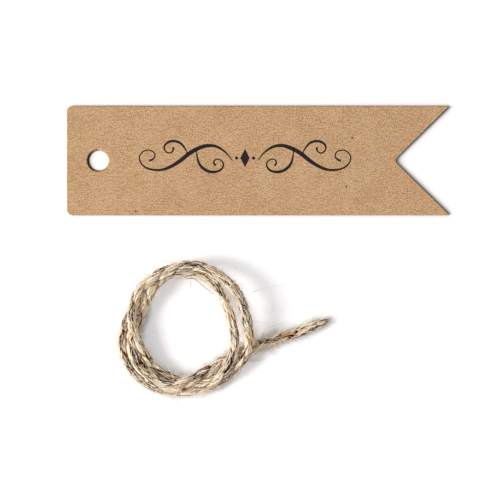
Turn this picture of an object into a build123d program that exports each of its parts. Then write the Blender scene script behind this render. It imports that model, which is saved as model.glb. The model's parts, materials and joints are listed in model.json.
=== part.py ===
from build123d import *
import math
import os

# Kraft gift tag: a die-cut card with a string hole at its square end and a swallowtail at the other,
# and its jute twine, which lies beside the card in a loose coil with one short tail.
# Millimetres, +Z up. The origin is the middle of the card's underside, and +X points to the swallowtail.

# Card
card_length = 70.0  # to the points of the swallowtail before they are rounded
card_width = 20.0
card_thickness = 0.45
corner_radius = 1.3  # the two corners of the square end
tip_radius = 0.2  # the two points of the swallowtail
edge_roll = 0.1  # the upper edge, rolled over by the cutting die
hole_diameter = 4.0
hole_inset = 5.8  # hole centre from the square end
notch_depth = 10.2  # swallowtail, from its tips to where its sides would meet
notch_root_radius = 0.85

# Twine and the coil it lies in
twine_diameter = 1.8
turn_gap = 0.5  # clear space between one turn and the next
coil_inset = 21.7  # coil centre from the square end, along the card
coil_set_off = 19.8  # coil centre from the card's long edge
coil_inner_radius = 8.6  # to the middle of the innermost turn
growth_per_pitch = 0.57  # how far each turn steps outwards, so that the second lies over the groove
coil_oval = 0.4  # the turns reach this much further along Y, and as much less along X
fan_spread = 0.9  # the turns part by this much, each way, on the +X side
arch_rise = 1.0  # the outer turn springs up by this much between its supports

# Angles along the twine, in degrees from +X and clockwise seen from above, counted on through every turn
coil_start = 60.0
coil_end = 898.0
first_station = 120.0
station_step = 90.0
climb_start = 300.0  # the first turn climbs over the tail
climb_end = 388.0
arch_middle = 680.0
arch_half_width = 70.0
fall_start = 748.0  # the last turn comes down to the table again
fall_end = 825.0
fan_reverse = 360.0  # here the inner strand leans in, and one turn later the outer one leans out

# Tail: the points of its middle line from the cut end, measured from the coil's centre
tail_offsets = [(25.6, 0.9), (21.8, -0.8), (17.6, -2.4), (13.3, -3.45)]
tail_last_run = 4.0  # straight into the coil
tail_bend_share = 0.45  # how much of the shorter run each bend takes up

# Sampling for the printed gap
gap_sample_step = 0.4
heading_step = 0.01

turn_pitch = twine_diameter + turn_gap
turn_growth = growth_per_pitch * turn_pitch
floor_height = twine_diameter / 2
coil_centre_x = -card_length / 2 + coil_inset
coil_centre_y = -card_width / 2 - coil_set_off
hole_x = -card_length / 2 + hole_inset

os.makedirs("parts", exist_ok=True)


def ease(share):
    # A smooth step from 0 to 1
    share = min(1.0, max(0.0, share))
    return share * share * (3 - 2 * share)


def arch(angle):
    # A smooth hump that is 1 in its middle and 0 at both its ends
    share = (angle - arch_middle) / arch_half_width
    return math.cos(math.pi / 2 * share) ** 2 if abs(share) < 1 else 0.0


def coil_radius(angle):
    # A steady spiral, a little oval, with the strands fanned out on the +X side
    turned = math.radians(angle)
    spiral = coil_inner_radius + turn_growth * (angle - coil_start) / 360
    oval = coil_oval * math.cos(2 * turned)
    right_side = ((1 + math.cos(turned)) / 2) ** 2
    lean = math.cos(math.radians((angle - fan_reverse) / 2))
    return spiral - oval - fan_spread * right_side * lean


def coil_height(angle):
    # The first and last turns lie on the table, and the middle one lies over them and the tail
    climb = ease((angle - climb_start) / (climb_end - climb_start))
    fall = ease((angle - fall_start) / (fall_end - fall_start))
    return floor_height + turn_pitch * (climb - fall) + arch_rise * arch(angle)


def coil_point(angle):
    turned = math.radians(angle)
    x = coil_centre_x + coil_radius(angle) * math.cos(turned)
    y = coil_centre_y - coil_radius(angle) * math.sin(turned)
    return Vector(x, y, coil_height(angle))


def coil_heading(angle):
    return (coil_point(angle + heading_step) - coil_point(angle - heading_step)).normalized()


def biarc_joint(start, start_heading, end, end_heading):
    # The point where two tangent arcs meet between two stations, and the heading there
    span = end - start
    along = span.dot(start_heading + end_heading)
    spread = 2 * (1 - start_heading.dot(end_heading))
    reach = (math.sqrt(along * along + spread * span.dot(span)) - along) / spread
    before = start + start_heading * reach
    after = end - end_heading * reach
    return (before + after) * 0.5, (after - before).normalized()


# Card: the outline with its swallowtail, cut through for the string
with BuildPart() as tag_card:
    with BuildSketch() as card_outline:
        with BuildLine():
            Polyline(
                (-card_length / 2, -card_width / 2),
                (card_length / 2, -card_width / 2),
                (card_length / 2 - notch_depth, 0),
                (card_length / 2, card_width / 2),
                (-card_length / 2, card_width / 2),
                close=True,
            )
        make_face()
        fillet(card_outline.vertices().group_by(Axis.X)[1], notch_root_radius)
        fillet(card_outline.vertices().group_by(Axis.X)[-1], tip_radius)
        fillet(card_outline.vertices().group_by(Axis.X)[0], corner_radius)
    extrude(amount=card_thickness)
    fillet(tag_card.faces().sort_by(Axis.Z)[-1].edges(), edge_roll)
    with Locations((hole_x, 0, card_thickness)):
        Hole(radius=hole_diameter / 2)
tag_card.part.label = "tag_card"
export_step(tag_card.part, "parts/tag_card.step")

# Coil: one unbroken tube through its turns, with a straight run at each end
stations = [coil_start]
station = first_station
while station < coil_end:
    stations.append(station)
    station += station_step
stations.append(coil_end)
start_heading = coil_heading(coil_start)
end_heading = coil_heading(coil_end)
tail_meets_coil = coil_point(coil_start) - start_heading * twine_diameter
with BuildPart() as twine_coil:
    with BuildLine() as coil_path:
        Line(tail_meets_coil, coil_point(coil_start))
        for near, far in zip(stations, stations[1:]):
            joint, joint_heading = biarc_joint(
                coil_point(near), coil_heading(near), coil_point(far), coil_heading(far)
            )
            TangentArc(coil_point(near), joint, tangent=coil_heading(near))
            TangentArc(joint, coil_point(far), tangent=joint_heading)
        Line(coil_point(coil_end), coil_point(coil_end) + end_heading * twine_diameter)
    with BuildSketch(Plane(origin=tail_meets_coil, z_dir=start_heading)) as coil_section:
        Circle(twine_diameter / 2)
    sweep(path=coil_path.line)
twine_coil.part.label = "twine_coil"
export_step(twine_coil.part, "parts/twine_coil.step")

# Tail: from the cut end, under both strands of the coil's +X side, to the start of the coil
tail_points = [Vector(coil_centre_x + x, coil_centre_y + y, floor_height) for x, y in tail_offsets]
tail_points.append(tail_meets_coil - start_heading * tail_last_run)
tail_points.append(tail_meets_coil)
tail_runs = [end - start for start, end in zip(tail_points, tail_points[1:])]
tail_radii = []
for run, next_run in zip(tail_runs, tail_runs[1:]):
    half_turn = math.radians(run.get_angle(next_run)) / 2
    tail_radii.append(tail_bend_share * min(run.length, next_run.length) / math.tan(half_turn))
with BuildPart() as twine_tail:
    with BuildLine() as tail_path:
        FilletPolyline(*tail_points, radius=tail_radii)
    with BuildSketch(Plane(origin=tail_points[0], z_dir=tail_runs[0])) as tail_section:
        Circle(twine_diameter / 2)
    sweep(path=tail_path.line)
twine_tail.part.label = "twine_tail"
export_step(twine_tail.part, "parts/twine_tail.step")

# Lengths, volumes against section times length, bends, and the twine's least gap to itself
section_area = math.pi * twine_diameter**2 / 4
route = []
for name, part, path in (("tail", twine_tail.part, tail_path), ("coil", twine_coil.part, coil_path)):
    wire = Wire(path.edges())
    ratio = part.volume / (section_area * wire.length)
    print(f"{name} length {wire.length:.1f} mm, volume ratio {ratio:.4f}")
    steps = math.ceil(wire.length / gap_sample_step)
    route += [wire.position_at(step / steps) for step in range(steps)]
print("tail bend radii", [round(radius, 1) for radius in tail_radii])
neighbours = math.ceil(math.pi * twine_diameter / gap_sample_step)
least_gap = min(
    (route[i] - route[j]).length - twine_diameter
    for i in range(len(route))
    for j in range(i + neighbours, len(route))
)
print(f"twine least gap to itself {least_gap:.2f} mm")
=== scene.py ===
import json
import math
import random

import bmesh
import bpy
import numpy as np
from mathutils import Matrix, Vector, kdtree, noise


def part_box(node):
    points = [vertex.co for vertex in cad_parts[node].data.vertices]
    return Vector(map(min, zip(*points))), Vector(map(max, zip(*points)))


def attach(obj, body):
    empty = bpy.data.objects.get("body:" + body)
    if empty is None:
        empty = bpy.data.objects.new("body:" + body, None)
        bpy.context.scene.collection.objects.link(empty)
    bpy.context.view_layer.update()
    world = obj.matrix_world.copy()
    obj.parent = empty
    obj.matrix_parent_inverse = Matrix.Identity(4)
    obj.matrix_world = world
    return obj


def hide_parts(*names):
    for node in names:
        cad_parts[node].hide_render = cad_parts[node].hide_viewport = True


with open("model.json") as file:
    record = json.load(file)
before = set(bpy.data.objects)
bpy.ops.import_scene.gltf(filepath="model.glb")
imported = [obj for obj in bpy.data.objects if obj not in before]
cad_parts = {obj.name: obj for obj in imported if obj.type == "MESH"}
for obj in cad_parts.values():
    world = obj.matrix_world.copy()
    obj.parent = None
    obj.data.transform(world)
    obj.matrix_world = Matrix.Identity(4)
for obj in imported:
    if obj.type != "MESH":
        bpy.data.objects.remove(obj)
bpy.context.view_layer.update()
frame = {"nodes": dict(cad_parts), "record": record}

mm = 0.001
scene = bpy.context.scene
print("frame loaded", sorted(frame["nodes"]))


def linear(hexCode):  # an sRGB hex colour as the linear RGBA that Blender's sockets take
    channels = [int(hexCode[i:i + 2], 16) / 255 for i in (1, 3, 5)]
    return tuple(c / 12.92 if c <= 0.04045 else ((c + 0.055) / 1.055) ** 2.4 for c in channels) + (1.0,)


def perMm(size):  # texture scale for a pattern of that size in millimetres, on coordinates in metres
    return 1 / (size * mm)


def addNode(tree, kind, inputs={}, **settings):  # one node with its settings, values and links
    node = tree.nodes.new(kind)
    for name, value in settings.items():
        setattr(node, name, value)
    for socket, value in inputs.items():
        if isinstance(value, bpy.types.NodeSocket):
            tree.links.new(value, node.inputs[socket])
        else:
            node.inputs[socket].default_value = value
    return node


def startMaterial(name):
    material = bpy.data.materials.new(name)
    material.use_nodes = True
    material.node_tree.nodes.clear()
    return material, material.node_tree


def setRamp(node, stops):  # stops are (place, hex colour)
    ramp = node.color_ramp
    while len(ramp.elements) < len(stops):
        ramp.elements.new(0.5)
    for element, (place, colour) in zip(ramp.elements, stops):
        element.position = place
        element.color = linear(colour)


def addPiece(name, mesh, material, body):
    piece = bpy.data.objects.new(name, mesh)
    scene.collection.objects.link(piece)
    mesh.materials.clear()
    mesh.materials.append(material)
    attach(piece, body)
    return piece


# Camera, straight down as in the photograph
photo = {
    "pixels": 480,
    "pixelsPerMm": 5.48,
    "cardCentre": (258.45, 160.45),  # pixel of the card's middle
    "lens": 120,
    "sensor": 36,
    "clipStart": 0.01,
}
cardLow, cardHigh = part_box("tag_card")


def fromPixel(x, y):  # a pixel of the photograph as millimetres on the table
    scale = photo["pixelsPerMm"]
    return (x - photo["cardCentre"][0]) / scale, (photo["cardCentre"][1] - y) / scale


cameraData = bpy.data.cameras.new("overhead")
cameraData.lens = photo["lens"]
cameraData.sensor_width = photo["sensor"]
cameraData.clip_start = photo["clipStart"]
camera = bpy.data.objects.new("overhead", cameraData)
scene.collection.objects.link(camera)
viewWidth = photo["pixels"] / photo["pixelsPerMm"]
centreX, centreY = fromPixel(photo["pixels"] / 2, photo["pixels"] / 2)
cameraRise = viewWidth * photo["lens"] / photo["sensor"] * mm
camera.location = (centreX * mm, centreY * mm, cardHigh[2] + cameraRise)
scene.camera = camera
print("camera at", [round(v, 4) for v in camera.location])

# Light: one soft box low on the left, and a bright room all round
lighting = {
    "room": 0.517,
    "roomColour": "#fafbff",
    "keyAzimuth": 188,  # degrees from +X to where the lamp stands
    "keyElevation": 36,
    "keyDistance": 1.0,  # m
    "keySize": 0.35,  # m
    "keyPower": 9.8,  # W
    "keyColour": "#fff6ea",
    "backdrop": "#ffffff",  # what the camera sees past the table
}
azimuth = math.radians(lighting["keyAzimuth"])
elevation = math.radians(lighting["keyElevation"])
toLamp = Vector((math.cos(azimuth) * math.cos(elevation), math.sin(azimuth) * math.cos(elevation),
                 math.sin(elevation)))

# Twine route: the tail from its cut end, then the turns of the loose coil
twineRoute = {
    "diameter": 1.8,
    # the tail's middle line from its cut end
    "tail": [(12.1, -29.3, 0.75), (11.2, -29.7, 0.8), (9.8, -30.3, 0.85), (7.3, -31.4, 0.9),
             (4.6, -32.2, 0.9), (1.9, -32.95, 0.9), (-0.9, -33.9, 0.9), (-3.6, -35.1, 0.9),
             (-6.4, -36.4, 0.9)],
    "centre": (-13.04, -30.57),
    "firstAngle": 60,  # degrees from +X, clockwise seen from above, counted on through every turn
    "keyStep": 15,
    # radius and height of the middle line, one key for each step
    "firstTurn": [(8.85, 1.0), (9.05, 1.7), (9.9, 2.6), (10.9, 2.8), (11.2, 2.5), (11.05, 2.3),
                  (10.8, 2.1), (10.4, 1.5), (9.6, 1.0), (8.65, 1.2), (9.0, 1.9), (9.65, 2.5),
                  (10.4, 2.4), (10.5, 2.2), (10.2, 1.9), (10.1, 1.7), (9.7, 1.6), (9.0, 1.6),
                  (8.4, 1.7), (8.35, 1.9), (8.5, 2.3), (9.1, 2.6), (9.75, 2.6), (10.4, 2.4)],
    "secondTurn": [(10.8, 2.2), (10.7, 2.0), (10.1, 1.7), (9.5, 1.6), (9.3, 1.7), (9.1, 2.0),
                   (9.0, 2.2), (9.15, 2.5), (9.6, 2.7), (10.45, 2.9), (10.85, 3.0), (11.2, 3.3),
                   (11.05, 3.7), (11.15, 3.8), (11.6, 3.7), (11.65, 3.8), (11.45, 4.1), (11.4, 4.3),
                   (11.3, 4.3), (11.0, 4.1), (11.2, 3.7), (11.95, 2.9), (11.8, 2.2), (11.5, 1.6)],
    "lastTurn": [(11.4, 1.0), (11.45, 0.9), (11.45, 0.9), (11.95, 0.9), (12.45, 0.9), (12.7, 0.9),
                 (12.65, 0.9), (12.4, 0.9), (11.3, 0.9), (10.9, 0.9)],
    "sampleStep": 0.55,
}


def coilPoints():
    route = twineRoute
    points = []
    for step, (radius, height) in enumerate(route["firstTurn"] + route["secondTurn"] + route["lastTurn"]):
        angle = math.radians(route["firstAngle"] + route["keyStep"] * step)
        x = route["centre"][0] + radius * math.cos(angle)
        y = route["centre"][1] - radius * math.sin(angle)
        points.append((x, y, height))
    return points


def curveObject(name, splines, kind, bevel=0.0):  # splines are lists of (point, radius)
    data = bpy.data.curves.new(name, "CURVE")
    data.dimensions = "3D"
    data.bevel_depth = bevel
    data.bevel_resolution = 0
    for points in splines:
        spline = data.splines.new(kind)
        spline.points.add(len(points) - 1)
        spline.points.foreach_set("co", [v for p, r in points for v in (*p, 1.0)])
        spline.points.foreach_set("radius", [r for p, r in points])
        if kind == "NURBS":
            spline.order_u = 3
            spline.use_endpoint_u = True
            spline.resolution_u = 12
    return bpy.data.objects.new(name, data)


def meshOf(curve):  # the curve's mesh, and the curve removed
    mesh = bpy.data.meshes.new_from_object(curve)
    data = curve.data
    bpy.data.objects.remove(curve)
    bpy.data.curves.remove(data)
    return mesh


def evenly(points, step):  # the same line with points an even distance apart
    lengths = [0.0]
    for a, b in zip(points, points[1:]):
        lengths.append(lengths[-1] + (b - a).length)
    count = round(lengths[-1] / step)
    result = []
    k = 0
    for i in range(count + 1):
        target = lengths[-1] * i / count
        while k < len(points) - 2 and lengths[k + 1] < target:
            k += 1
        share = (target - lengths[k]) / (lengths[k + 1] - lengths[k])
        result.append(points[k].lerp(points[k + 1], share))
    return result, lengths[-1]


routePoints = twineRoute["tail"] + coilPoints()
routeCurve = curveObject("route", [[(Vector(p) * mm, 1.0) for p in routePoints]], "NURBS")
routeMesh = meshOf(routeCurve)
centreLine, twineLength = evenly([v.co.copy() for v in routeMesh.vertices], twineRoute["sampleStep"] * mm)
bpy.data.meshes.remove(routeMesh)
print("twine route", len(centreLine), "points,", round(twineLength / mm, 1), "mm")

# Jute: hackled bast fibre, matt, cream to brown from strand to strand, with painted shade: darker in the
# grooves and warmer where the lamp is shut off
juteLook = {
    "stops": [(0.0, "#361800"), (0.25, "#8f5818"), (0.5, "#d8ae70"), (0.75, "#fcefd4"), (1.0, "#fff9ea")],
    # size in mm and strength: browner lengths of the twine, lengths along one fibre, and flecks
    "patches": [(7.0, 0.2), (1.6, 0.26), (0.35, 0.3)],
    # browner and paler places, partly the twine's own tone, partly painted shade in gaps and under
    # crossings and a painted highlight at the cut end: pixel of the photograph, reach in mm, and change of
    # shade
    "toneAndPaintedLightMarks": [
        ((282, 337), 2.8, -0.42), ((297, 331), 2.2, -0.32), ((303, 327), 1.0, -0.15),
        ((319, 321), 1.2, -0.2), ((327, 320), 0.9, 0.6), ((264, 343), 1.1, 0.3),
        ((286, 334), 1.0, -0.25), ((238, 351), 1.2, -0.2), ((234, 358), 0.8, -0.3),
        ((211, 370), 1.2, -0.25), ((177, 390), 2.0, 0.12), ((208, 387), 1.6, 0.15),
        ((126, 355), 0.7, -0.55), ((133, 348), 0.9, -0.3), ((138, 356), 0.9, -0.3),
        ((143, 364), 0.9, -0.3), ((149, 371), 0.9, -0.3), ((156, 377), 1.0, -0.25),
        ((137, 312), 0.8, -0.4), ((167, 376), 0.7, -0.25), ((177, 377), 0.7, -0.25),
        ((164, 384), 2.4, -0.12), ((147, 370), 2.4, -0.15), ((137, 355), 2.0, -0.15),
        ((131, 318), 1.8, 0.2), ((138, 300), 2.0, 0.3), ((150, 286), 2.2, 0.45),
        ((190, 263), 2.0, -0.2), ((166, 273), 1.7, -0.55), ((224, 285), 2.0, 0.2),
        ((207, 274), 1.8, -0.35), ((131, 338), 1.6, 0.1), ((234, 300), 1.8, 0.25),
        ((243, 296), 0.8, -0.3), ((235, 335), 1.0, -0.2), ((249, 320), 0.8, -0.35),
        ((238, 320), 0.8, -0.35), ((128, 320), 1.0, -0.25), ((141, 326), 0.9, -0.35),
    ],
    "groove": 1.75,  # painted shade: how much darker a fibre is down between the plies than on their crests
    "grooveRange": (0.3, 0.7),  # mm from the twine's middle line, over which that painted shade fades out
    "through": 1.2,  # mm, how far the lamp is looked for when painting warm shade on the fibres' shaded side
    "throughTint": "#ffd996",  # and the colour of that painted shade
    "throughEnd": 0.45,  # how open to the lamp a place is where that painted shade ends
    "paleShade": (1.07, 1.37),
    "tanShade": (-0.4, 0.5),
    "streak": 0.09,  # mm, fine unevenness of the fibre
    "streakBump": 0.4,
    "streakDepth": 0.02,
    "roughness": 0.66,
    "ior": 1.53,
    "specular": 0.08,
}


def juteMaterial():
    look = juteLook
    material, tree = startMaterial("hackled jute fibre")
    place = addNode(tree, "ShaderNodeTexCoord")
    shade = addNode(tree, "ShaderNodeAttribute", attribute_name="fibreShade")
    spread = sum(strength for _, strength in look["patches"])  # each patch shifts the shade either way
    level = addNode(tree, "ShaderNodeMath", {0: shade.outputs["Fac"], 1: spread}, operation="SUBTRACT")
    for size, strength in look["patches"]:
        patch = addNode(tree, "ShaderNodeTexNoise", {
            "Vector": place.outputs["Object"], "Scale": perMm(size), "Detail": 2.0})
        level = addNode(tree, "ShaderNodeMath", {
            0: patch.outputs["Fac"], 1: strength * 2, 2: level.outputs[0]}, operation="MULTIPLY_ADD")
    tint = addNode(tree, "ShaderNodeValToRGB", {"Fac": level.outputs[0]})
    setRamp(tint, look["stops"])
    # painted shade: where the lamp is shut off within that reach, the colour is warmed towards the tint
    lampWay = addNode(tree, "ShaderNodeCombineXYZ", {"X": toLamp.x, "Y": toLamp.y, "Z": toLamp.z})
    lit = addNode(tree, "ShaderNodeAmbientOcclusion", {
        "Distance": look["through"] * mm, "Normal": lampWay.outputs[0]}, samples=8)
    inLight = addNode(tree, "ShaderNodeMapRange", {
        "Value": lit.outputs["AO"], "From Max": look["throughEnd"]})
    through = addNode(tree, "ShaderNodeMix", {
        "Factor": inLight.outputs[0], "A": linear(look["throughTint"]), "B": linear("#ffffff")},
        data_type="RGBA")
    tintWithWarmShade = addNode(tree, "ShaderNodeMix", {
        "Factor": 1.0, "A": tint.outputs["Color"], "B": through.outputs["Result"]},
        data_type="RGBA", blend_type="MULTIPLY")
    streak = addNode(tree, "ShaderNodeTexNoise", {
        "Vector": place.outputs["Object"], "Scale": perMm(look["streak"]), "Detail": 1.0})
    bump = addNode(tree, "ShaderNodeBump", {
        "Height": streak.outputs["Fac"], "Strength": look["streakBump"],
        "Distance": look["streakDepth"] * mm})
    surface = addNode(tree, "ShaderNodeBsdfPrincipled", {
        "Base Color": tintWithWarmShade.outputs["Result"], "Roughness": look["roughness"], "IOR": look["ior"],
        "Specular IOR Level": look["specular"], "Normal": bump.outputs["Normal"]})
    addNode(tree, "ShaderNodeOutputMaterial", {"Surface": surface.outputs[0]})
    return material


# Twine: two plies laid up left-handed and pressed together, their fibres wandering in and out
ply = {
    "lay": 7.0,  # mm for one full turn of the two plies
    "layDrift": 0.7,  # radians by which the lay runs ahead or falls behind
    "offset": 0.36,  # ply middle from the twine's middle
    "outward": 0.38,  # half a ply from there outwards
    "across": 0.60,  # and half a ply the other way
    "coreRadius": 0.42,
    "coreUneven": 0.16,
    # a dark core, so that the gaps between the fibres show as painted shade
    "paintedCoreShade": 0.18,
    "coreStart": 5,  # samples in from the cut end
    "ribbons": 22,  # bundles in each ply
    "ribbonRadius": 0.1,
    "paleRibbons": 0.55,
    "threads": 50,  # single fibres in each ply
    "firstThread": 100,  # their numbers follow on after those of the ribbons
    "threadRadius": 0.042,
    "paleThreads": 0.8,
    "wander": 0.34,  # share of the ply's half width
    "depth": 0.25,  # share of the wander that stays the same all along a fibre
    "sway": 1.2,  # radians by which a fibre strays round its ply
    "ownTurn": -1.5,  # turns of a fibre in its ply for one turn of the plies
    "loose": 760,  # fibres that lie over both plies at a slant of their own
    "looseRadius": 0.03,
    "paleLoose": 0.66,
    "looseSamples": (10, 40),
    "looseSlant": (-0.9, 1.0),  # turns for one turn of the plies
    "looseRise": (0.02, 0.2),  # how far clear of the plies its middle stands, as a share of their reach
    "looseSway": 0.5,
    "uneven": 0.16,  # how the twine swells and thins
    # places where the plies stand open: mm from the cut end, half the length, and how much wider
    "open": [(8.0, 9.0, -0.12), (24.0, 5.0, 0.3), (39.0, 6.0, 0.4), (53.5, 4.5, 0.42), (68.0, 7.0, -0.15),
             (99.0, 7.0, -0.1), (116.0, 6.0, 0.12), (170.0, 8.0, -0.15)],
    "ribbonCutEnd": (-2.0, 0.1),  # mm past the tail's end, where its fibres stop
    "threadCutEnd": (-1.6, 0.9),
    "tuckedEnd": (-1.0, 1.2),
    "splay": 0.1,  # how fast the fibres part past the cut end
    "wispStart": 1.6,  # mm before the tucked end, where the twine begins to draw in
    "wispLength": 3.2,
    "wispWidth": 0.12,  # share of the width that is left
    "thinning": 1.3,  # fibres thin out later than the twine draws in, by this factor
    "thinnest": 0.35,
    # noise along the twine: its change from sample to sample, and for some a row and a layer as well
    "layNoise": (0.04, 1.5, 8.0),
    "widthNoise": (0.06, 21.0, 4.0),
    "coreNoise": (0.23, 9.0, 17.0),
    "wanderNoise": 0.11,
    "swayNoise": 0.13,
    "looseNoise": 0.15,
    "seed": 41,
}
padCount = 8  # spare samples past each end, for the frayed fibres
sampleStep = twineLength / (len(centreLine) - 1)
headStart = (centreLine[0] - centreLine[1]).normalized()
headEnd = (centreLine[-1] - centreLine[-2]).normalized()
line = [centreLine[0] + headStart * sampleStep * i for i in range(padCount, 0, -1)]
line += centreLine
line += [centreLine[-1] + headEnd * sampleStep * i for i in range(1, padCount + 1)]
sides = []
ups = []
heads = []
lineTree = kdtree.KDTree(len(line))
side = Vector((0, 0, 1)).cross(line[1] - line[0]).normalized()
for i in range(len(line)):
    ahead = (line[min(i + 1, len(line) - 1)] - line[max(i - 1, 0)]).normalized()
    heads.append(ahead)
    lineTree.insert(line[i], i)
    side = (side - ahead * side.dot(ahead)).normalized()  # carried along without turning
    sides.append(side.copy())
    ups.append(ahead.cross(side))
lineTree.balance()


def smoothNoise(i, change, row, layer):  # from -1 to 1; fibres with rows or layers of their own differ
    return noise.noise(Vector((i * change, row, layer)))


def plyFrame(which, i):  # a ply's middle, its outward and crossways directions, and its turn
    turn = -2 * math.pi * i * sampleStep / (ply["lay"] * mm) + math.pi * which
    turn += ply["layDrift"] * smoothNoise(i, *ply["layNoise"])
    out = sides[i] * math.cos(turn) + ups[i] * math.sin(turn)
    across = ups[i] * math.cos(turn) - sides[i] * math.sin(turn)
    return line[i] + out * ply["offset"] * mm * narrowing(i) * opening(i), out, across, turn


def pastEnds(i):  # mm past the tail's cut end and past the tucked end, negative inside
    return (padCount - i) * sampleStep / mm, (i - (len(line) - 1 - padCount)) * sampleStep / mm


def narrowing(i):  # the tucked end draws in to a wisp, and the cut end stays blunt and splays a little
    cut, tucked = pastEnds(i)
    drawnIn = 1 - (tucked + ply["wispStart"]) / ply["wispLength"]
    return min(1 + ply["splay"] * max(0.0, cut), max(ply["wispWidth"], drawnIn))


def opening(i):  # the twine's width at a sample, 1 where its plies lie close
    along = (i - padCount) * sampleStep / mm
    width = 1 + ply["uneven"] * smoothNoise(i, *ply["widthNoise"])
    for middle, reach, more in ply["open"]:
        width += more * math.exp(-((along - middle) / reach) ** 2)
    return width


def aboveTable(point, radius):
    return Vector((point.x, point.y, max(point.z, radius)))


def fibreLine(which, rng, radius, number, cutEnds):  # one fibre's points, with its radius factor at each
    start = rng.uniform(0, 2 * math.pi)
    depth = rng.uniform(-ply["depth"], ply["depth"])
    cutEnd = rng.uniform(*cutEnds)
    tuckedEnd = rng.uniform(*ply["tuckedEnd"])
    points = []
    for i in range(len(line)):
        cut, tucked = pastEnds(i)
        if cut > cutEnd or tucked > tuckedEnd:
            continue
        middle, out, across, turn = plyFrame(which, i)
        drift = smoothNoise(i, ply["wanderNoise"], number * 3.1, which * 11.0)  # a row for each fibre
        sway = smoothNoise(i, ply["swayNoise"], number * 5.7, which * 13.0 + 40)
        reach = (1 + ply["wander"] * (depth + drift)) * narrowing(i) * opening(i) * mm
        angle = start + turn * ply["ownTurn"] + ply["sway"] * sway
        offset = out * math.cos(angle) * ply["outward"] + across * math.sin(angle) * ply["across"]
        taper = min(1.0, max(ply["thinnest"], narrowing(i) * ply["thinning"]))
        points.append((aboveTable(middle + offset * reach, radius), taper))
    return points


def looseFibre(rng):  # a fibre that lies over both plies, its ends sunk between them
    count = rng.randrange(*ply["looseSamples"])
    first = rng.randrange(padCount, len(line) - padCount - count)
    start = rng.uniform(0, 2 * math.pi)
    slant = rng.uniform(*ply["looseSlant"])
    rise = rng.uniform(*ply["looseRise"])
    firstTurn = plyFrame(0, first)[3]
    points = []
    for k in range(count):
        _, out, across, turn = plyFrame(0, first + k)
        angle = start + (slant - 1) * (turn - firstTurn)
        angle += ply["looseSway"] * smoothNoise(k, ply["looseNoise"], start * 7.0, slant * 9.0)
        along = math.cos(angle) * (ply["offset"] + ply["outward"]) * opening(first + k)
        aside = math.sin(angle) * ply["across"] * opening(first + k)
        clear = 1 + rise * math.sin(math.pi * k / (count - 1))
        point = line[first + k] + (out * along + across * aside) * clear * narrowing(first + k) * mm
        points.append((aboveTable(point, ply["looseRadius"] * mm), 1.0))
    return points


def fromMiddle(places):  # how far each place stands from the twine's middle line, in mm
    nearest = [lineTree.find(place)[1] for place in places]
    arms = places - np.array(line)[nearest]
    ahead = np.array(heads)[nearest]
    arms -= ahead * (arms * ahead).sum(axis=1, keepdims=True)
    return np.linalg.norm(arms, axis=1) / mm


def shadeFibres(mesh, splines, shades):  # each fibre's shade, with painted shade in the grooves and the marks added, kept on its points
    ring = len(mesh.vertices) // sum(len(points) for points in splines)  # vertices round each point
    values = np.repeat(shades, [len(points) * ring for points in splines])
    places = np.empty(len(mesh.vertices) * 3)
    mesh.vertices.foreach_get("co", places)
    places = places.reshape(-1, 3)
    low, high = juteLook["grooveRange"]
    # painted shade: the nearer a place lies to the twine's middle line, the darker
    standing = np.clip((fromMiddle(places) - low) / (high - low), 0, 1)
    values += juteLook["groove"] * (standing - 1)
    x, y, _ = places.T / mm
    for pixel, reach, change in juteLook["toneAndPaintedLightMarks"]:
        markX, markY = fromPixel(*pixel)
        values += change * np.exp(-((x - markX) ** 2 + (y - markY) ** 2) / reach ** 2)
    layer = mesh.attributes.new("fibreShade", "FLOAT", "POINT")
    layer.data.foreach_set("value", values.astype(np.float32))


def pickShade(rng, paleShare):  # pale fibres, and the others tan to brown
    if rng.random() < paleShare:
        return rng.uniform(*juteLook["paleShade"])
    return rng.uniform(*juteLook["tanShade"])


def fibrePiece(name, groups):  # groups are (splines, radius in mm, shades)
    merged = bmesh.new()
    for splines, radius, shades in groups:
        mesh = meshOf(curveObject(name, splines, "POLY", radius * mm))
        shadeFibres(mesh, splines, shades)
        merged.from_mesh(mesh)
        bpy.data.meshes.remove(mesh)
    mesh = bpy.data.meshes.new(name)
    merged.to_mesh(mesh)
    merged.free()
    mesh.polygons.foreach_set("use_smooth", [True] * len(mesh.polygons))
    return addPiece(name, mesh, juteFibre, "twine")


juteFibre = juteMaterial()
rng = random.Random(ply["seed"])
corePoints = []
for i in range(padCount + ply["coreStart"], len(line) - padCount):
    lump = 1 + ply["coreUneven"] * smoothNoise(i, *ply["coreNoise"])
    corePoints.append((line[i], lump * narrowing(i)))
ribbons = [fibreLine(k % 2, rng, ply["ribbonRadius"] * mm, k, ply["ribbonCutEnd"])
           for k in range(ply["ribbons"] * 2)]
jute = fibrePiece("jute_twine", [
    ([corePoints], ply["coreRadius"], [ply["paintedCoreShade"]]),
    (ribbons, ply["ribbonRadius"], [pickShade(rng, ply["paleRibbons"]) for _ in ribbons])])
for which, name in ((0, "twine_fibres_a"), (1, "twine_fibres_b")):
    threads = [
        fibreLine(which, rng, ply["threadRadius"] * mm, ply["firstThread"] + k, ply["threadCutEnd"])
        for k in range(ply["threads"])]
    fibrePiece(name, [
        (threads, ply["threadRadius"], [pickShade(rng, ply["paleThreads"]) for _ in threads])])
looseFibres = [looseFibre(rng) for _ in range(ply["loose"])]
fibrePiece("twine_loose_fibres", [
    (looseFibres, ply["looseRadius"], [pickShade(rng, ply["paleLoose"]) for _ in looseFibres])])
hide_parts("twine_coil", "twine_tail")

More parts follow.
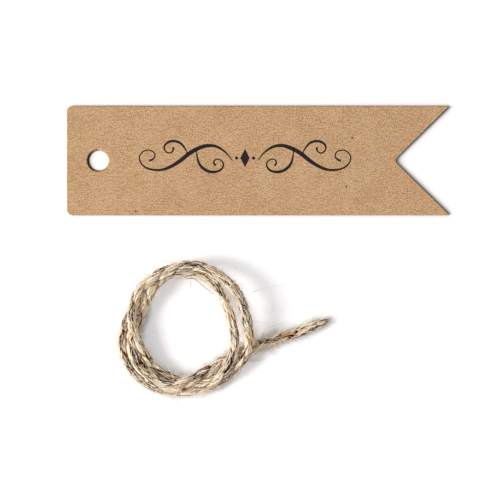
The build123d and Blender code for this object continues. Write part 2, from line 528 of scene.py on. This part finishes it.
# Hairs: short fuzz all along the twine, longer strays, and some laid where the photograph shows them
hairs = {
    "fuzz": 5200,
    "fuzzLength": (0.5, 1.8),
    "fuzzJoints": 4,
    "fuzzLift": (0.4, 1.8),  # how steeply a hair leaves the twine
    "fuzzRadius": 0.027,
    "fuzzShade": (1.0, 1.5),
    "across": 1.1,  # how far a hair may turn from the twine's own direction
    "clearOfEnds": 3,  # samples
    "stray": 150,
    "strayLength": (2.5, 5.5),
    "strayJoints": 7,
    "strayLift": (0.15, 0.75),
    "strayShade": (1.0, 1.5),
    "fray": 180,  # hairs dragged out where the tail leaves the coil
    "fraySpan": (9.0, 16.0),  # mm from the cut end
    "frayLength": (1.2, 3.2),
    "frayLift": (0.3, 1.6),
    "frayJoints": 6,
    "tuft": 34,  # at the cut end
    "tuftLength": (0.9, 2.2),
    "tuftHeading": (1.0, 0.1, -0.1),
    "tuftTurn": 0.15,  # how fast a hair comes round to that heading
    "tuftFan": 0.45,
    "tuftSpread": 0.5,  # mm about the twine's middle
    "tuftRoot": (0.2, 1.2),  # mm inside the end
    "tuftJoints": 7,
    "tuftShade": (0.55, 1.0),
    "radius": 0.03,
    "thinning": 0.6,  # from root to tip
    "curl": 1.4,
    "curlRise": (-1.0, 0.4),  # more of them curl down than up
    "placedRadius": 0.046,
    "placedWave": (0.15, 2.0),  # mm up and down, and radians from point to point
    "seed": 7,
    # pixels of the photograph along each long hair, its height above the table in mm, and its shade
    "placed": [
        ([(269, 285), (271.5, 297), (273.7, 308), (270.7, 313)], 2.0, 1.5),
        ([(252, 292), (266, 287), (276, 286), (283, 283), (291, 284.5), (299, 291)], 2.2, 1.5),
        ([(231, 258), (233, 261), (236, 269.5)], 2.4, 1.5),
        ([(184, 277), (189, 278.5), (195, 278), (203, 285.5), (214, 293.5)], 2.6, 0.2),
        ([(191, 281), (191, 287)], 1.6, 0.35),
        ([(262, 346), (269, 351.5), (276, 356)], 0.5, 1.1),
        ([(252, 350), (249, 357), (254, 362), (262, 360)], 0.7, 1.3),
        ([(244, 358), (250, 362), (258, 357), (266, 350)], 0.8, 1.3),
        ([(263, 343), (257, 350), (252, 355), (248.5, 361)], 2.3, 1.2),
        ([(262, 351), (257, 356.5), (251, 354.5), (245, 357)], 2.4, 1.2),
        ([(186, 372), (180.5, 383), (176, 394)], 3.7, 0.95),
        ([(168, 364), (170.5, 371), (176, 377), (173, 380)], 2.8, 0.9),
        ([(149, 306), (144, 317), (141.5, 325), (143, 335)], 2.3, 0.95),
        ([(146, 318), (142, 325), (137, 331)], 2.6, 0.9),
        ([(170, 396), (175, 403), (179, 410)], 0.4, 1.1),
        ([(178, 264), (166, 261), (149, 260)], 1.0, 1.1),
        ([(248, 355.5), (252, 357), (256, 356)], 1.0, 1.3),
        ([(249, 360), (253, 362.5), (258, 360.5), (261, 357)], 0.6, 1.3),
        ([(269, 326.5), (276, 324.5), (283, 323)], 1.2, 1.5),
        ([(270, 330), (277, 327.5), (283, 326)], 1.2, 1.5),
    ],
    "strandRadius": 0.085,
    # and likewise the loose pale strands that lie over the tail, the last four of them painted highlights
    # along its ply edges
    "strands": [
        ([(263, 342.5), (258.5, 348), (253, 352.5), (247.5, 356.5)], 2.2, 1.5),
        ([(257, 341), (258.5, 344), (259.5, 347)], 2.0, 1.5),
        ([(297, 330), (302.5, 326), (308, 321.5)], 1.75, 1.5),
        ([(297, 336), (302, 332), (306.5, 329), (311, 326.5), (315.5, 325)], 1.85, 1.5),
        ([(273, 337), (276.5, 334), (280, 331.5)], 1.85, 1.4),
        ([(282, 339.5), (285, 338.5), (288, 337)], 1.8, 1.4),
    ],
}


def growHair(point, heading, pace, joints, bend):  # from its root to its thinner tip
    points = []
    for k in range(joints + 1):
        points.append((aboveTable(point, hairs["radius"] * mm), 1 - hairs["thinning"] * k / joints))
        point = point + heading * pace
        heading = (heading + bend).normalized()
    return points


def hairLine(rng, lengths, lifts, joints, span=None):  # span is mm from the cut end
    first, last = padCount + hairs["clearOfEnds"], len(line) - padCount - hairs["clearOfEnds"]
    if span:
        first, last = (padCount + round(far * mm / sampleStep) for far in span)
    i = rng.randrange(first, last)
    which = rng.randrange(2)
    middle, out, across, _ = plyFrame(which, i)
    angle = rng.uniform(0, 2 * math.pi)
    out = out * math.cos(angle) + across * math.sin(angle)
    ahead = heads[i] * rng.choice((-1, 1))
    around = out.cross(ahead) * rng.uniform(-hairs["across"], hairs["across"])
    heading = (ahead + around + out * rng.uniform(*lifts)).normalized()
    curling = Vector((rng.uniform(-1, 1), rng.uniform(-1, 1), rng.uniform(*hairs["curlRise"])))
    bend = curling * hairs["curl"] / joints
    pace = rng.uniform(*lengths) * mm / joints
    return growHair(middle + out * ply["outward"] * mm, heading, pace, joints, bend)


def tuftLine(rng):  # a hair from the cut end
    joints = hairs["tuftJoints"]
    aim = Vector(hairs["tuftHeading"])
    spread = Vector((rng.uniform(-1, 1), rng.uniform(-1, 1), rng.uniform(-1, 1)))
    inside = headStart * rng.uniform(*hairs["tuftRoot"]) * mm
    root = centreLine[0] + spread * hairs["tuftSpread"] * mm - inside
    heading = (aim + headStart + spread * hairs["tuftFan"]).normalized()
    pace = rng.uniform(*hairs["tuftLength"]) * mm / joints
    return growHair(root, heading, pace, joints, aim * hairs["tuftTurn"])


def placedLines(rows):  # hairs along pixels of the photograph
    rise, turn = hairs["placedWave"]
    lines = []
    for pixels, height, _ in rows:
        points = []
        for k, pixel in enumerate(pixels):
            x, y = fromPixel(*pixel)
            points.append((Vector((x, y, height + rise * math.sin(k * turn))) * mm, 1.0))
        mesh = meshOf(curveObject("hair", [points], "NURBS"))
        lines.append([(v.co.copy(), 1.0) for v in mesh.vertices])
        bpy.data.meshes.remove(mesh)
    return lines


rng = random.Random(hairs["seed"])
fuzzLines = [hairLine(rng, hairs["fuzzLength"], hairs["fuzzLift"], hairs["fuzzJoints"])
             for _ in range(hairs["fuzz"])]
longLines = [hairLine(rng, hairs["strayLength"], hairs["strayLift"], hairs["strayJoints"])
             for _ in range(hairs["stray"])]
tuftLines = [tuftLine(rng) for _ in range(hairs["tuft"])]
longLines += [hairLine(rng, hairs["frayLength"], hairs["frayLift"], hairs["frayJoints"], hairs["fraySpan"])
              for _ in range(hairs["fray"])]
hairPiece = fibrePiece("twine_hairs", [
    (fuzzLines, hairs["fuzzRadius"], [rng.uniform(*hairs["fuzzShade"]) for _ in fuzzLines]),
    (longLines, hairs["radius"], [rng.uniform(*hairs["strayShade"]) for _ in longLines]),
    (tuftLines, hairs["radius"], [rng.uniform(*hairs["tuftShade"]) for _ in tuftLines]),
    (placedLines(hairs["placed"]), hairs["placedRadius"], [shade for _, _, shade in hairs["placed"]]),
    (placedLines(hairs["strands"]), hairs["strandRadius"], [shade for _, _, shade in hairs["strands"]]),
])
print("hairs", len(fuzzLines) + len(longLines) + len(tuftLines))

# Card: the die-cut outline, filled round its hole, thickened and rolled at its upper edges
card = {
    "cornerRadius": 1.1,
    "cornerSteps": 8,
    "tipRadius": 0.3,
    "notchDepth": 10.2,
    "notchRootRadius": 0.85,
    "roll": 0.2,
    "rollSteps": 5,
    "support": 0.04,  # a last narrow ring, so that the flat face stays flat
    "holeSides": 72,
    "holeTaper": 0.24,  # the punch leaves the hole this much smaller, in radius, at its lower edge
    "holeSkew": 0.07,  # and came through this much further to +X
    "paintedShadeRight": 1.2,  # how dark the painted shade on the cut is where it faces +X, and where it faces +Y, both away from the lamp
    "paintedShadeTop": 0.35,
    "paintedShadeRings": [1.0, 1.0, 1.0, 0.7, 0.3],  # that painted shade across the rolled edge, inwards
}
hole = next(m for m in frame["record"]["mounts"] if m["name"] == "string_hole")
tipAngle = math.atan2(cardHigh[1], card["notchDepth"] * mm)
tipBack = card["tipRadius"] / math.tan(tipAngle / 2)
tipX = cardHigh[0] + (tipBack - card["tipRadius"]) * mm  # where the sides of a tip would meet
notchRootX = tipX - card["notchDepth"] * mm

# Kraft board: unbleached sulphate pulp, uncoated and cloudy, with short fibres and a few bark specks, and
# painted shade along its cut edges
kraftLook = {
    "pale": "#d6b590",
    "mid": "#c29f7a",
    "deep": "#a27c54",
    "cloud": 6.0,  # mm, formation of the sheet
    "cloudShare": 0.5,
    "fibreWays": (12, 71, 133),  # degrees, the three main ways that the fibres lie
    "fibreWidth": 0.2,
    "fibreLength": 1.2,
    "fibreShare": 1.5,
    "fibreMean": 0.6,  # of the strongest of the three
    "grain": 0.22,
    "grainShare": 3.2,
    "grainBump": 0.35,
    "grainDepth": 0.03,
    "tintPatch": 1.0,  # mm, patches a little redder or yellower
    "tintRange": (0.35, 0.65),
    "tintShift": 0.005,
    "speck": 5.0,  # mm between bark specks
    "speckSize": 0.034,  # of that distance
    "speckColour": "#4c321c",
    "edge": "#433020",  # colour of the painted shade on the cut edge and along the swallowtail
    "paintedNotchShadeBand": (0.1, 0.3),  # mm from the swallowtail's cut where its painted shade starts to fade, and ends
    "paintedNotchShade": 0.85,
    "roughness": 0.86,
    "ior": 1.5,
    "specular": 0.2,
}


def kraftMaterial():
    look = kraftLook
    material, tree = startMaterial("uncoated kraft board")
    place = addNode(tree, "ShaderNodeTexCoord")
    cloud = addNode(tree, "ShaderNodeTexNoise", {
        "Vector": place.outputs["Object"], "Scale": perMm(look["cloud"]), "Detail": 3.0})
    fibres = None
    for degrees in look["fibreWays"]:
        turned = addNode(tree, "ShaderNodeMapping", {
            "Vector": place.outputs["Object"], "Rotation": (0, 0, math.radians(degrees)),
            "Scale": (perMm(look["fibreLength"]), perMm(look["fibreWidth"]), perMm(look["fibreWidth"]))})
        lay = addNode(tree, "ShaderNodeTexNoise", {
            "Vector": turned.outputs[0], "Scale": 1.0, "Detail": 1.0})
        if fibres is None:
            fibres = lay.outputs["Fac"]
        else:
            fibres = addNode(tree, "ShaderNodeMath", {0: fibres, 1: lay.outputs["Fac"]},
                             operation="MAXIMUM").outputs[0]
    grain = addNode(tree, "ShaderNodeTexNoise", {
        "Vector": place.outputs["Object"], "Scale": perMm(look["grain"]), "Detail": 1.0})
    shares = 0.5 * look["cloudShare"] + 0.5 * look["grainShare"] + look["fibreMean"] * look["fibreShare"]
    start = 0.5 - shares  # so that the mean of all three falls on the ramp's middle
    clouded = addNode(tree, "ShaderNodeMath", {
        0: cloud.outputs["Fac"], 1: look["cloudShare"], 2: start}, operation="MULTIPLY_ADD")
    mixed = addNode(tree, "ShaderNodeMath", {
        0: fibres, 1: look["fibreShare"], 2: clouded.outputs[0]}, operation="MULTIPLY_ADD")
    level = addNode(tree, "ShaderNodeMath", {
        0: grain.outputs["Fac"], 1: look["grainShare"], 2: mixed.outputs[0]}, operation="MULTIPLY_ADD")
    tint = addNode(tree, "ShaderNodeValToRGB", {"Fac": level.outputs[0]})
    setRamp(tint, [(0.0, look["deep"]), (0.5, look["mid"]), (1.0, look["pale"])])
    specks = addNode(tree, "ShaderNodeTexVoronoi", {
        "Vector": place.outputs["Object"], "Scale": perMm(look["speck"]), "Randomness": 1.0})
    inSpeck = addNode(tree, "ShaderNodeMath", {
        0: specks.outputs["Distance"], 1: look["speckSize"]}, operation="LESS_THAN")
    speckTint = addNode(tree, "ShaderNodeMix", {
        "Factor": inSpeck.outputs[0], "A": tint.outputs["Color"], "B": linear(look["speckColour"])},
        data_type="RGBA")
    patch = addNode(tree, "ShaderNodeTexNoise", {
        "Vector": place.outputs["Object"], "Scale": perMm(look["tintPatch"]), "Detail": 1.0})
    shift = addNode(tree, "ShaderNodeMapRange", {
        "Value": patch.outputs["Fac"], "From Min": look["tintRange"][0], "From Max": look["tintRange"][1],
        "To Min": 0.5 - look["tintShift"], "To Max": 0.5 + look["tintShift"]})
    tinted = addNode(tree, "ShaderNodeHueSaturation", {
        "Hue": shift.outputs[0], "Color": speckTint.outputs["Result"]})
    # painted shade along the rolled edges, in the hole and along the swallowtail's cut
    rolled = addNode(tree, "ShaderNodeAttribute", attribute_name="paintedEdgeShade")
    spot = addNode(tree, "ShaderNodeSeparateXYZ", {0: place.outputs["Object"]})
    slope = card["notchDepth"] * mm / cardHigh[1]
    rootGap = card["notchRootRadius"] * mm * (1 / math.cos(tipAngle) - 1) / slope  # rounds the root
    squared = addNode(tree, "ShaderNodeMath", {
        0: spot.outputs["Y"], 1: spot.outputs["Y"], 2: rootGap ** 2}, operation="MULTIPLY_ADD")
    rounded = addNode(tree, "ShaderNodeMath", {0: squared.outputs[0]}, operation="SQRT")
    cutX = addNode(tree, "ShaderNodeMath", {
        0: rounded.outputs[0], 1: slope, 2: notchRootX}, operation="MULTIPLY_ADD")
    short = addNode(tree, "ShaderNodeMath", {
        0: cutX.outputs[0], 1: spot.outputs["X"]}, operation="SUBTRACT")
    slant = math.hypot(1, slope) * mm  # along X for 1 mm square to the cut
    # painted shade along the swallowtail's cut, fading away from it
    paintedNotchShade = addNode(tree, "ShaderNodeMapRange", {
        "Value": short.outputs[0], "From Min": look["paintedNotchShadeBand"][0] * slant,
        "From Max": look["paintedNotchShadeBand"][1] * slant, "To Min": look["paintedNotchShade"], "To Max": 0.0})
    paintedEdgeShade = addNode(tree, "ShaderNodeMath", {
        0: rolled.outputs["Fac"], 1: paintedNotchShade.outputs[0]}, operation="MAXIMUM")
    edged = addNode(tree, "ShaderNodeMix", {
        "Factor": paintedEdgeShade.outputs[0], "A": tinted.outputs[0], "B": linear(look["edge"])},
        data_type="RGBA")
    bump = addNode(tree, "ShaderNodeBump", {
        "Height": grain.outputs["Fac"], "Strength": look["grainBump"],
        "Distance": look["grainDepth"] * mm})
    surface = addNode(tree, "ShaderNodeBsdfPrincipled", {
        "Base Color": edged.outputs["Result"], "Roughness": look["roughness"], "IOR": look["ior"],
        "Specular IOR Level": look["specular"], "Normal": bump.outputs["Normal"]})
    addNode(tree, "ShaderNodeOutputMaterial", {"Surface": surface.outputs[0]})
    return material


def cardMesh():
    low, high = cardLow, cardHigh
    bm = bmesh.new()
    outline = [(low[0], low[1]), (tipX, low[1]), (notchRootX, 0.0), (tipX, high[1]), (low[0], high[1])]
    corners = [bm.verts.new((x, y, low[2])) for x, y in outline]
    bm.faces.new(corners)
    rounds = [  # corners, and how far back along its sides each round starts
        ([corners[0], corners[4]], card["cornerRadius"]),
        ([corners[2]], card["notchRootRadius"] / math.tan(tipAngle)),
        ([corners[1], corners[3]], tipBack),
    ]
    for verts, back in rounds:
        bmesh.ops.bevel(bm, geom=verts, offset=back * mm, affect="VERTICES",
                        segments=card["cornerSteps"], profile=0.5, material=-1)
    bmesh.ops.delete(bm, geom=bm.faces[:], context="FACES_ONLY")
    lowerPlace = Matrix.Translation((hole["pos_m"][0] + card["holeSkew"] * mm, hole["pos_m"][1], low[2]))
    holeRadius = hole["dims"]["r_mm"] * mm
    lowerRadius = holeRadius - card["holeTaper"] * mm
    bmesh.ops.create_circle(bm, segments=card["holeSides"], radius=lowerRadius, matrix=lowerPlace)
    bmesh.ops.triangle_fill(bm, use_beauty=True, edges=bm.edges[:])
    paintedEdgeShade = bm.verts.layers.float.new("paintedEdgeShade")
    roll = card["roll"] * mm
    grown = bmesh.ops.extrude_face_region(bm, geom=bm.faces[:], use_keep_orig=True)
    top = [f for f in grown["geom"] if isinstance(f, bmesh.types.BMFace)]
    raised = [v for v in grown["geom"] if isinstance(v, bmesh.types.BMVert)]
    bmesh.ops.translate(bm, verts=raised, vec=(0, 0, high[2] - low[2] - roll))
    upperRim = [v for v in raised if (v.co - lowerPlace.translation).xy.length < holeRadius]
    widened = holeRadius / lowerRadius
    bmesh.ops.scale(bm, verts=upperRim, vec=(widened, widened, 1), space=lowerPlace.inverted())
    bmesh.ops.translate(bm, verts=upperRim, vec=(-card["holeSkew"] * mm, 0, 0))
    # painted shade on the hole's lower wall, on the side away from the lamp
    for vert in bm.verts:
        inwards = lowerPlace.translation - vert.co
        if inwards.length < holeRadius and vert not in upperRim:
            vert[paintedEdgeShade] = max(0, inwards.x) / lowerRadius
    bmesh.ops.recalc_face_normals(bm, faces=bm.faces[:])
    for k in range(card["rollSteps"]):
        a = math.pi / 2 * k / card["rollSteps"]
        b = math.pi / 2 * (k + 1) / card["rollSteps"]
        ring = bmesh.ops.inset_region(bm, faces=top, thickness=roll * (math.cos(a) - math.cos(b)),
                                      depth=roll * (math.sin(b) - math.sin(a)),
                                      use_even_offset=True, use_boundary=True)
        # painted shade on the rolled edge where it faces away from the lamp
        for face in ring["faces"]:
            face.normal_update()
            facing = face.normal.xy.normalized()
            shadeAwayFromLamp = max(0, facing.x) * card["paintedShadeRight"] + max(0, facing.y) * card["paintedShadeTop"]
            for vert in face.verts:
                vert[paintedEdgeShade] = min(1.0, shadeAwayFromLamp) * card["paintedShadeRings"][k]
    bmesh.ops.inset_region(bm, faces=top, thickness=card["support"] * mm,
                           use_even_offset=True, use_boundary=True)
    for vert in {vert for face in top for vert in face.verts}:
        vert[paintedEdgeShade] = 0.0
    mesh = bpy.data.meshes.new("kraft_card")
    bm.to_mesh(mesh)
    bm.free()
    return mesh


kraftCard = addPiece("kraft_card", cardMesh(), kraftMaterial(), "card")
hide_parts("tag_card")
print("card", len(kraftCard.data.polygons), "faces")

# Ink: black letterpress ink on uncoated board, sunk in and nearly matt, a little starved on the grain
inkLook = {
    "deep": "#1a1412",
    "starved": "#33271e",
    "patch": 0.25,
    "starvedRange": (0.5, 0.8),
    "roughness": 0.62,
    "ior": 1.5,
    "specular": 0.25,
}


def inkMaterial():
    look = inkLook
    material, tree = startMaterial("black letterpress ink")
    place = addNode(tree, "ShaderNodeTexCoord")
    patch = addNode(tree, "ShaderNodeTexNoise", {
        "Vector": place.outputs["Object"], "Scale": perMm(look["patch"]), "Detail": 2.0})
    tint = addNode(tree, "ShaderNodeValToRGB", {"Fac": patch.outputs["Fac"]})
    sound, starved = look["starvedRange"]
    setRamp(tint, [(sound, look["deep"]), (starved, look["starved"])])
    surface = addNode(tree, "ShaderNodeBsdfPrincipled", {
        "Base Color": tint.outputs["Color"], "Roughness": look["roughness"], "IOR": look["ior"],
        "Specular IOR Level": look["specular"]})
    addNode(tree, "ShaderNodeOutputMaterial", {"Surface": surface.outputs[0]})
    return material


# Printed flourish: a mirrored divider of pen scrolls round a lozenge
flourish = {
    "centre": (-2.45, 0.45),
    "film": 0.012,  # mm of ink above the board
    # one arm: points in mm from the centre, each with the stroke's width there
    "strokes": [
        [(2.3, -0.5, 0.12), (3.4, 1.2, 0.3), (6.2, 2.6, 0.6), (9.6, 1.4, 0.8), (12.2, -0.9, 0.7),
         (15.2, -2.4, 0.45), (18.4, -1.9, 0.3), (19.6, 0.1, 0.24), (18.3, 1.6, 0.22), (16.5, 1.2, 0.22),
         (16.4, -0.2, 0.26), (17.5, -0.5, 0.42)],
        [(8.8, 1.7, 0.12), (8.9, -0.6, 0.4), (7.0, -2.6, 0.6), (4.5, -2.5, 0.4), (3.7, -1.0, 0.26),
         (4.9, 0.0, 0.22), (6.0, -0.7, 0.26), (5.4, -1.4, 0.42)],
        [(10.4, 0.6, 0.12), (11.2, 2.6, 0.4), (13.4, 3.3, 0.5), (15.0, 2.2, 0.32), (14.3, 0.8, 0.24),
         (13.0, 1.1, 0.26), (13.1, 2.0, 0.4)],
    ],
    "lozenge": (0.85, 1.7),
    "dot": 0.3,
    "dotAt": 1.55,
    "dotSides": 24,
}


def inkFlourish():
    centre = Vector((*flourish["centre"], cardHigh[2] / mm + flourish["film"])) * mm
    bm = bmesh.new()
    for stroke in flourish["strokes"]:
        mesh = meshOf(curveObject("pen", [[(Vector(point), 1.0) for point in stroke]], "NURBS"))
        path = [v.co.copy() for v in mesh.vertices]  # x, y, and the width as z
        bpy.data.meshes.remove(mesh)
        for hand in (1, -1):
            rails = []
            for k, point in enumerate(path):
                ahead = path[min(k + 1, len(path) - 1)] - path[max(k - 1, 0)]
                aside = Vector((-ahead.y, ahead.x, 0)).normalized() * point.z / 2
                middle = Vector((point.x, point.y, 0))
                banks = (middle - aside, middle + aside)
                rails.append([bm.verts.new(centre + Vector((p.x * hand, p.y, 0)) * mm) for p in banks])
            for (a, b), (c, d) in zip(rails, rails[1:]):
                bm.faces.new((a, c, d, b) if hand == 1 else (b, d, c, a))
    shapes = [((0.0, 0.0), flourish["lozenge"], 4)]
    for x in (flourish["dotAt"], -flourish["dotAt"]):
        shapes.append(((x, 0.0), (flourish["dot"], flourish["dot"]), flourish["dotSides"]))
    for (x, y), (halfWidth, halfHeight), count in shapes:
        place = Matrix.Translation(centre + Vector((x, y, 0)) * mm)
        bmesh.ops.create_circle(bm, cap_ends=True, segments=count, radius=1.0,
                                matrix=place @ Matrix.Diagonal((halfWidth * mm, halfHeight * mm, 1, 1)))
    mesh = bpy.data.meshes.new("printed_flourish")
    bm.to_mesh(mesh)
    bm.free()
    return mesh


printed = addPiece("printed_flourish", inkFlourish(), inkMaterial(), "card")
print("flourish", len(printed.data.polygons), "faces")

# Table: white card, bright to the camera, keeping the shadows, with a painted contact shadow near things
table = {
    "colour": "#e9eaed",
    "lift": 0.31,  # a glow that lights nothing else, so that the open table looks white
    "farLift": 0.62,  # out where the lamp's light falls off
    "farStart": 0.15,  # m from the object
    "farEnd": 1.2,
    "paintedContactShadow": 1.6,  # mm, reach of the painted contact shadow: how far from a thing that stands towards the lamp the table is dimmed
    "drop": 0.02,  # mm below the card
    "size": 3.0,  # m
}
tableMaterial, tableTree = startMaterial("white studio card")
lightPath = addNode(tableTree, "ShaderNodeLightPath")
seen = addNode(tableTree, "ShaderNodeMath", {
    0: lightPath.outputs["Is Camera Ray"], 1: lightPath.outputs["Is Glossy Ray"]}, operation="ADD")
seenThrough = addNode(tableTree, "ShaderNodeMath", {
    0: seen.outputs[0], 1: lightPath.outputs["Is Transmission Ray"]}, operation="ADD", use_clamp=True)
lampWay = addNode(tableTree, "ShaderNodeCombineXYZ", {"X": toLamp.x, "Y": toLamp.y, "Z": toLamp.z})
paintedContactShadow = addNode(tableTree, "ShaderNodeAmbientOcclusion", {
    "Distance": table["paintedContactShadow"] * mm, "Normal": lampWay.outputs[0]}, samples=16)
tablePlace = addNode(tableTree, "ShaderNodeTexCoord")
away = addNode(tableTree, "ShaderNodeVectorMath", {0: tablePlace.outputs["Object"]}, operation="LENGTH")
lifted = addNode(tableTree, "ShaderNodeMapRange", {
    "Value": away.outputs["Value"], "From Min": table["farStart"], "From Max": table["farEnd"],
    "To Min": table["lift"], "To Max": table["farLift"]})
# the glow is dimmed near things as well, part of the painted contact shadow
nearLift = addNode(tableTree, "ShaderNodeMath", {
    0: paintedContactShadow.outputs["AO"], 1: lifted.outputs[0]}, operation="MULTIPLY")
lift = addNode(tableTree, "ShaderNodeMath", {
    0: seenThrough.outputs[0], 1: nearLift.outputs[0]}, operation="MULTIPLY")
glow = addNode(tableTree, "ShaderNodeEmission", {"Strength": lift.outputs[0]})
shaded = addNode(tableTree, "ShaderNodeMix", {
    "Factor": paintedContactShadow.outputs["AO"], "A": linear("#000000"), "B": linear(table["colour"])},
    data_type="RGBA")
matt = addNode(tableTree, "ShaderNodeBsdfDiffuse", {"Color": shaded.outputs["Result"]})
both = addNode(tableTree, "ShaderNodeAddShader", {0: matt.outputs[0], 1: glow.outputs[0]})
addNode(tableTree, "ShaderNodeOutputMaterial", {"Surface": both.outputs[0]})
tableMesh = bpy.data.meshes.new("table")
tableShape = bmesh.new()
bmesh.ops.create_grid(tableShape, x_segments=1, y_segments=1, size=table["size"] / 2,
                      matrix=Matrix.Translation((0, 0, cardLow[2] - table["drop"] * mm)))
tableShape.to_mesh(tableMesh)
tableShape.free()
tableMesh.materials.append(tableMaterial)
tableTop = bpy.data.objects.new("table", tableMesh)
scene.collection.objects.link(tableTop)

# Room and soft box
world = bpy.data.worlds.new("room")
scene.world = world
world.use_nodes = True
world.node_tree.nodes.clear()
roomPath = addNode(world.node_tree, "ShaderNodeLightPath")
room = addNode(world.node_tree, "ShaderNodeBackground", {
    "Color": linear(lighting["roomColour"]), "Strength": lighting["room"]})
backdrop = addNode(world.node_tree, "ShaderNodeBackground", {"Color": linear(lighting["backdrop"])})
shown = addNode(world.node_tree, "ShaderNodeMixShader", {
    0: roomPath.outputs["Is Camera Ray"], 1: room.outputs[0], 2: backdrop.outputs[0]})
addNode(world.node_tree, "ShaderNodeOutputWorld", {"Surface": shown.outputs[0]})
keyData = bpy.data.lights.new("soft box", "AREA")
keyData.size = lighting["keySize"]
keyData.energy = lighting["keyPower"]
keyData.color = linear(lighting["keyColour"])[:3]
key = bpy.data.objects.new("soft box", keyData)
key.location = Vector((centreX * mm, centreY * mm, 0)) + toLamp * lighting["keyDistance"]
key.rotation_euler = toLamp.to_track_quat("Z", "Y").to_euler()
scene.collection.objects.link(key)
scene.view_settings.view_transform = "Standard"
print("stage and lamps set")
